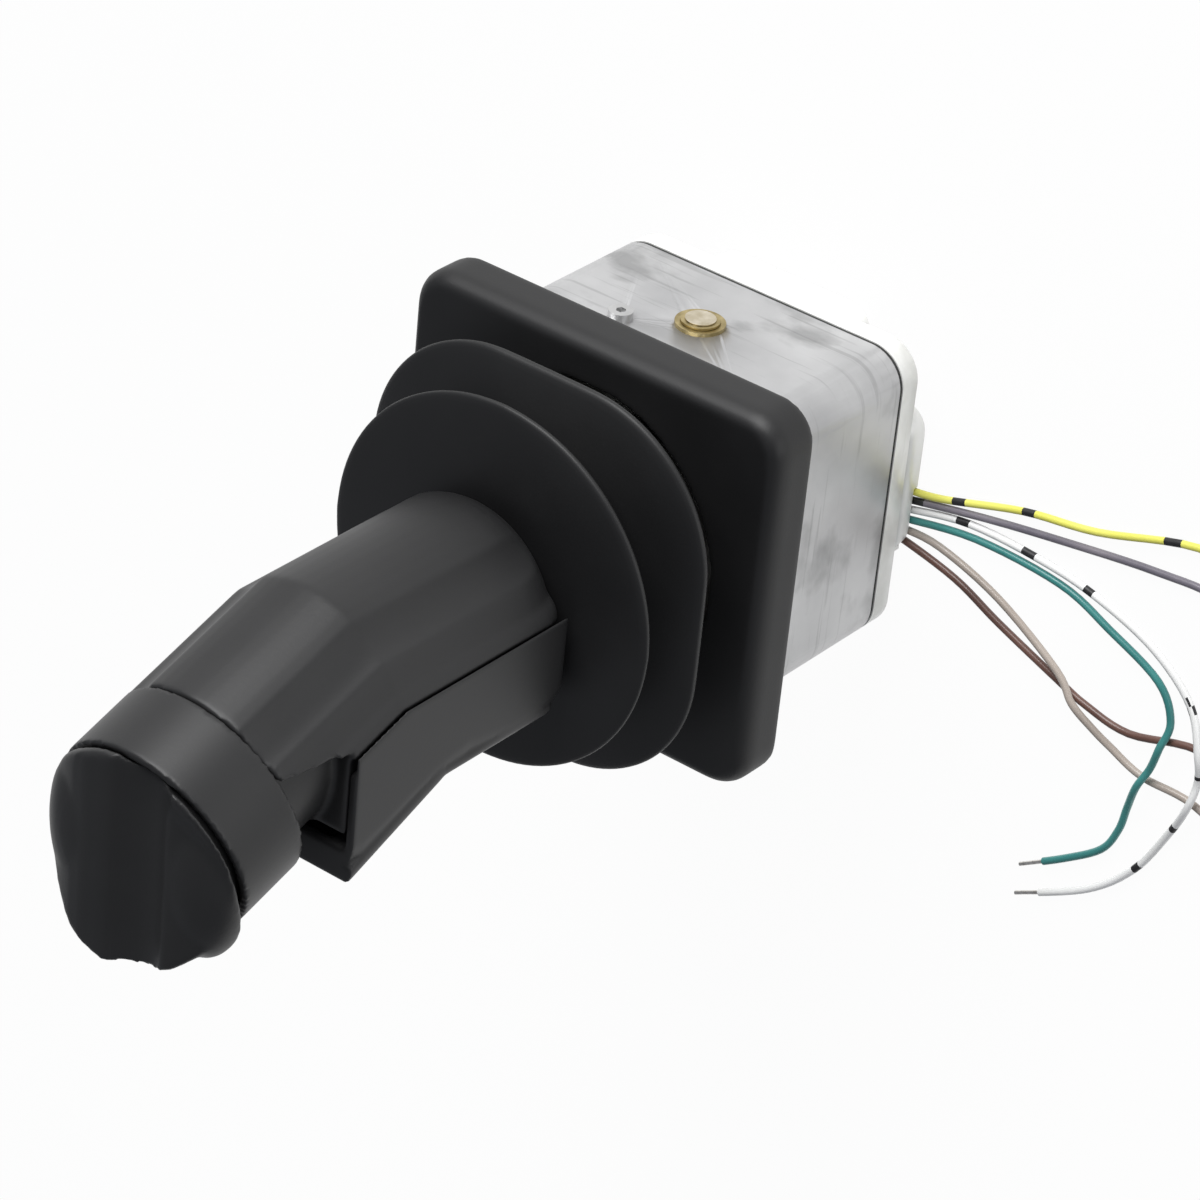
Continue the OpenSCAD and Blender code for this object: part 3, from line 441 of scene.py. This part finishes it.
def bellows(name, rings):
    """A closed rubber wall through the rings, the last joined back to the first."""
    bpy.ops.object.select_all(action="DESELECT")
    mesh = bpy.data.meshes.new(name)
    piece = bpy.data.objects.new(name, mesh)
    bpy.context.scene.collection.objects.link(piece)
    only(piece)
    ends = []
    for half, corner, z in rings:
        bpy.ops.object.mode_set(mode="EDIT")
        ring(half / 1000, corner / 1000, z / 1000)
        bpy.ops.object.mode_set(mode="OBJECT")
        ends.append(len(mesh.vertices))
    starts = [0] + ends[:-1]
    for i in range(len(rings)):
        k = (i + 1) % len(rings)
        bpy.ops.object.mode_set(mode="EDIT")
        bpy.ops.mesh.select_mode(type="EDGE")
        bpy.ops.mesh.select_all(action="DESELECT")
        bpy.ops.object.mode_set(mode="OBJECT")
        for edge in mesh.edges:
            for a, b in ((starts[i], ends[i]), (starts[k], ends[k])):
                if a <= edge.vertices[0] < b and a <= edge.vertices[1] < b:
                    edge.select = True
        bpy.ops.object.mode_set(mode="EDIT")
        bpy.ops.mesh.bridge_edge_loops()
    bpy.ops.mesh.select_all(action="SELECT")
    bpy.ops.mesh.normals_make_consistent(inside=False)
    bpy.ops.object.mode_set(mode="OBJECT")
    subdivision = piece.modifiers.new("rounding", "SUBSURF")
    subdivision.levels = subdivision.render_levels = 1
    apply_modifiers(piece)
    bpy.ops.object.shade_smooth()
    piece.data.materials.append(rubber)
    return piece


# Heights and rings in mm; a ring is half its width, its corner radius and its height.
SKIRT_TOP, FOLD, VALLEY, DISC = 13.5, 28.5, 34.5, 43.0
lower = bellows("bellows_lower", (
    (36.5, 36.5, SKIRT_TOP + 0.4), (34.2, 34.2, SKIRT_TOP + 1.2), (33.2, 33.2, SKIRT_TOP + 3),
    (33.2, 32.8, FOLD - 8),
    (34.5, 33.5, FOLD - 6.4), (42.5, 34.2, FOLD - 2.9), (45.1, 34, FOLD - 1.3), (45.7, 34, FOLD - 0.4),
    (45.7, 34, FOLD + 0.5), (45.1, 34, FOLD + 1.1), (42.5, 34.2, FOLD + 1.8), (33, 32, VALLEY - 1.2),
    (31, 31, VALLEY), (29.5, 29.5, VALLEY), (31, 30.8, VALLEY - 2.4), (40.5, 33, FOLD + 0.6),
    (41.5, 33, FOLD),
    (40.5, 33, FOLD - 1), (33, 31, FOLD - 5), (31.3, 30.8, FOLD - 7), (31.3, 31.3, SKIRT_TOP + 2.5),
    (33.5, 33.5, SKIRT_TOP + 0.4)))
upper = bellows("bellows_upper", (
    (31, 31, VALLEY + 0.3), (33, 33, VALLEY + 1.1), (39.9, 39.9, DISC - 2.2), (42.3, 42.3, DISC - 1.1),
    (42.9, 42.9, DISC - 0.4), (42.9, 42.9, DISC + 0.3), (42.3, 42.3, DISC + 0.8), (39.9, 39.9, DISC + 1.2),
    (30, 30, DISC + 2.2), (17, 17, DISC + 3.2), (9, 9, DISC + 3.6), (6.3, 6.3, DISC + 3.5),
    (6.2, 6.2, DISC - 2.4), (9, 9, DISC - 2.4), (17, 17, DISC + 0.9), (30, 30, DISC + 0.2),
    (38.4, 38.4, DISC - 0.6), (39.4, 39.4, DISC - 1), (37.6, 37.6, DISC - 2.2), (31, 31, VALLEY + 2.2),
    (29.5, 29.5, VALLEY + 0.4)))
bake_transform(lower)
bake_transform(upper)
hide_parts("gaiter_lower")
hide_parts("gaiter_upper")

# ---------------------------------------------------------------------------
# Grip: a charcoal nylon tube, bent towards the trigger, with a shallow valley down
# each side. Above the trigger it is cut back to a narrower neck, which leaves two
# shoulders that end in a flat step under the head.

GRIP_Y, BEND_Z, BEND = 0.0002, 0.0996, math.radians(19)
GRIP_R, NECK_R = 0.0241, 0.0197
STEP_Z = 0.1152
VALLEY_R, VALLEY_DEPTH, VALLEY_TURN = 0.014, 0.0015, math.radians(47)


def head_point(x, v, l):
    """A point given across, along and up the head's tilted axis."""
    return (x, GRIP_Y + v * math.cos(BEND) - l * math.sin(BEND),
            BEND_Z + v * math.sin(BEND) + l * math.cos(BEND))


def settle(piece):
    only(piece)
    bpy.ops.object.transform_apply(location=True, rotation=True, scale=True)
    return piece


def block(center, size, turn=0.0, rounding=0.0, side=0):
    """A box; its two upright edges at the side (1 rear, -1 front) can be rounded."""
    bpy.ops.object.select_all(action="DESELECT")
    bpy.ops.mesh.primitive_cube_add(size=1, location=(0, 0, 0))
    piece = bpy.context.view_layer.objects.active
    piece.scale = size
    settle(piece)
    if side:
        mesh = piece.data
        bpy.ops.object.mode_set(mode="EDIT")
        bpy.ops.mesh.select_mode(type="EDGE")
        bpy.ops.mesh.select_all(action="DESELECT")
        bpy.ops.object.mode_set(mode="OBJECT")
        for edge in mesh.edges:
            a, b = (mesh.vertices[i].co for i in edge.vertices)
            edge.select = a.y * side > 0 and b.y * side > 0 and abs(a.x - b.x) < 1e-6
        bpy.ops.object.mode_set(mode="EDIT")
        bpy.ops.mesh.bevel(offset=rounding, segments=6, affect="EDGES")
        bpy.ops.object.mode_set(mode="OBJECT")
    piece.location = center
    piece.rotation_euler = (turn, 0, 0)
    return settle(piece)


def rod(center, radius, depth, rotation):
    bpy.ops.object.select_all(action="DESELECT")
    bpy.ops.mesh.primitive_cylinder_add(vertices=96, radius=radius, depth=depth, location=center,
                                        rotation=rotation)
    return settle(bpy.context.view_layer.objects.active)


def cut(piece, tool, operation="DIFFERENCE"):
    """Takes the tool away from the piece, or keeps only what they share."""
    modifier = piece.modifiers.new("cut", "BOOLEAN")
    modifier.object = tool
    modifier.operation = operation
    modifier.solver = "EXACT"
    apply_modifiers(piece)
    bpy.data.objects.remove(tool)
    return piece


def finish_moulding(piece, source, body):
    piece.data.materials.clear()
    piece.data.materials.append(grip_plastic)
    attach(piece, body)
    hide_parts(source)


grip_plastic = varied(fresh_material("grip_plastic", (0.016, 0.016, 0.0165), 0.42), 25,
                      (0.013, 0.013, 0.0135), (0.019, 0.019, 0.0195), rough=(0.38, 0.5),
                      bump=0.05, bump_scale=1500)
grip_plastic.node_tree.nodes["Principled BSDF"].inputs["Specular IOR Level"].default_value = 0.4

grip = copy_of("grip_body", "grip_moulding")
recess = block((0, -0.0219, STEP_Z + 0.0125), (0.06, 0.045, 0.025))
cut(recess, rod(head_point(0, 0, 0.02), NECK_R, 0.12, (BEND, 0, 0)))
cut(grip, recess)
valley_reach = GRIP_R + VALLEY_R - VALLEY_DEPTH
valley_v = valley_reach * math.sin(VALLEY_TURN)
for side in (-1, 1):
    valley_x = side * valley_reach * math.cos(VALLEY_TURN)
    cut(grip, rod((valley_x, GRIP_Y + valley_v, 0.0675), VALLEY_R, 0.095, (0, 0, 0)))
    cut(grip, rod(head_point(valley_x, valley_v, 0.02), VALLEY_R, 0.06, (BEND, 0, 0)))
soften(grip, 0.0007, 6)
finish_moulding(grip, "grip_body", "lever")

# ---------------------------------------------------------------------------
# Trigger: a long hollow moulding hinged at its foot. Its front is waisted for two
# fingers and its upper corners are squarer than the rest. A spring inside, which
# shortens as the trigger is pressed, pushes it back.

FLANK_X = 0.0254
TRIGGER_TOP = 0.1148
TRIGGER_MID = 0.1003


def join(piece, others):
    bpy.ops.object.select_all(action="DESELECT")
    for other in [piece, *others]:
        other.select_set(True)
    bpy.context.view_layer.objects.active = piece
    bpy.ops.object.join()


trigger = copy_of("trigger", "trigger_moulding")
slope = math.atan2(6.8, 16)
corner_block = block((0, -0.0288 + 0.0025 * math.cos(slope), 0.1060), (2 * FLANK_X, 0.005, 0.044),
                     slope, 0.004, -1)
within = block((0, -0.0161, TRIGGER_MID), (0.06, 0.0302, 2 * (TRIGGER_TOP - TRIGGER_MID)))
cut(corner_block, within, "INTERSECT")
lower_block = block((0, -0.0177, 0.0700), (2 * FLANK_X, 0.0030, 0.0380), 0, 0.0027, -1)
join(trigger, [corner_block, lower_block])
soften(trigger, 0.0006, 5)
finish_moulding(trigger, "trigger", "trigger")
spring = node["trigger_spring"]
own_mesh(spring)

# ---------------------------------------------------------------------------
# Head cap: a plain ring, 48 mm across, screwed to the grip. The seam shows as a
# fine groove.

cap = copy_of("head_cap", "head_moulding")
soften(cap, 0.0006, 2)
finish_moulding(cap, "head_cap", "lever")

# ---------------------------------------------------------------------------
# Thumb rocker: it covers the whole head, with a lobe for each switch and a soft
# valley between them, and rocks on a pin across the head.


def ball(center, radii):
    bpy.ops.object.select_all(action="DESELECT")
    bpy.ops.mesh.primitive_uv_sphere_add(segments=48, ring_count=24, radius=1, location=center)
    piece = bpy.context.view_layer.objects.active
    piece.scale = radii
    return settle(piece)


rocker = copy_of("thumb_rocker", "rocker_moulding")
lobes = [ball((-0.0122, -0.0175, 0.1484), (0.0126, 0.0215, 0.0082)),
         ball((0.0132, -0.0185, 0.1452), (0.0108, 0.0205, 0.0086))]
for lobe in lobes:
    cut(lobe, block(head_point(0, 0, 0.0313), (0.09, 0.09, 0.04), BEND))
join(rocker, lobes)
soften(rocker, 0.0008, 2)
cut(rocker, rod((0.0045, -0.02, 0.1620), 0.0098, 0.08, (math.radians(90), 0, 0)))
soften(rocker, 0.0006, 8)
finish_moulding(rocker, "thumb_rocker", "rocker")

# ---------------------------------------------------------------------------
# Studio: a pale bench under the part, a large soft lamp behind it and a weaker one
# on the side of the leads. The bench looks white to the camera and in reflections.

bpy.ops.object.select_all(action="DESELECT")
bpy.ops.mesh.primitive_plane_add(size=6, location=(0, 0, BENCH - 0.0001))
bench = bpy.context.view_layer.objects.active
bench.name = "bench"
bpy.ops.object.transform_apply(location=True)
bench_paint = bpy.data.materials.new("bench_paint")
bench_paint.use_nodes = True
tree = bench_paint.node_tree
shader = tree.nodes["Principled BSDF"]
shader.inputs["Base Color"].default_value = (0.9, 0.9, 0.9, 1)
shader.inputs["Roughness"].default_value = 0.9
glow = tree.nodes.new("ShaderNodeEmission")
glow.inputs["Color"].default_value = (1, 1, 1, 1)
glow.inputs["Strength"].default_value = 1.0
seen = tree.nodes.new("ShaderNodeLightPath")
clear = tree.nodes.new("ShaderNodeMath")
clear.operation = "MAXIMUM"
share = tree.nodes.new("ShaderNodeMath")
share.operation = "MULTIPLY"
share.inputs[1].default_value = 0.96
mix = tree.nodes.new("ShaderNodeMixShader")
tree.links.new(seen.outputs["Is Camera Ray"], clear.inputs[0])
tree.links.new(seen.outputs["Is Glossy Ray"], clear.inputs[1])
tree.links.new(clear.outputs[0], share.inputs[0])
tree.links.new(share.outputs[0], mix.inputs[0])
tree.links.new(shader.outputs[0], mix.inputs[1])
tree.links.new(glow.outputs[0], mix.inputs[2])
tree.links.new(mix.outputs[0], tree.nodes["Material Output"].inputs["Surface"])
bench.data.materials.append(bench_paint)

world = bpy.data.worlds.new("room")
bpy.context.scene.world = world
world.use_nodes = True
sky = world.node_tree.nodes["Background"]
sky.inputs["Color"].default_value = (0.9, 0.93, 1.0, 1)
sky.inputs["Strength"].default_value = 0.28


def softbox(name, place, target, power):
    data = bpy.data.lights.new(name, "AREA")
    data.shape = "DISK"
    data.size = 0.9
    data.energy = power
    lamp = bpy.data.objects.new(name, data)
    bpy.context.scene.collection.objects.link(lamp)
    aim = Vector(target) - Vector(place)
    lamp.matrix_world = Matrix.Translation(place) @ aim.to_track_quat("-Z", "Y").to_matrix().to_4x4()


softbox("key", (-0.1, 1.2, 0.5), (0, 0, 0.02), 20)
softbox("side", (1.2, 0.3, 0.2), (0, 0, 0.0), 3.5)

bpy.context.scene.view_settings.view_transform = "Standard"
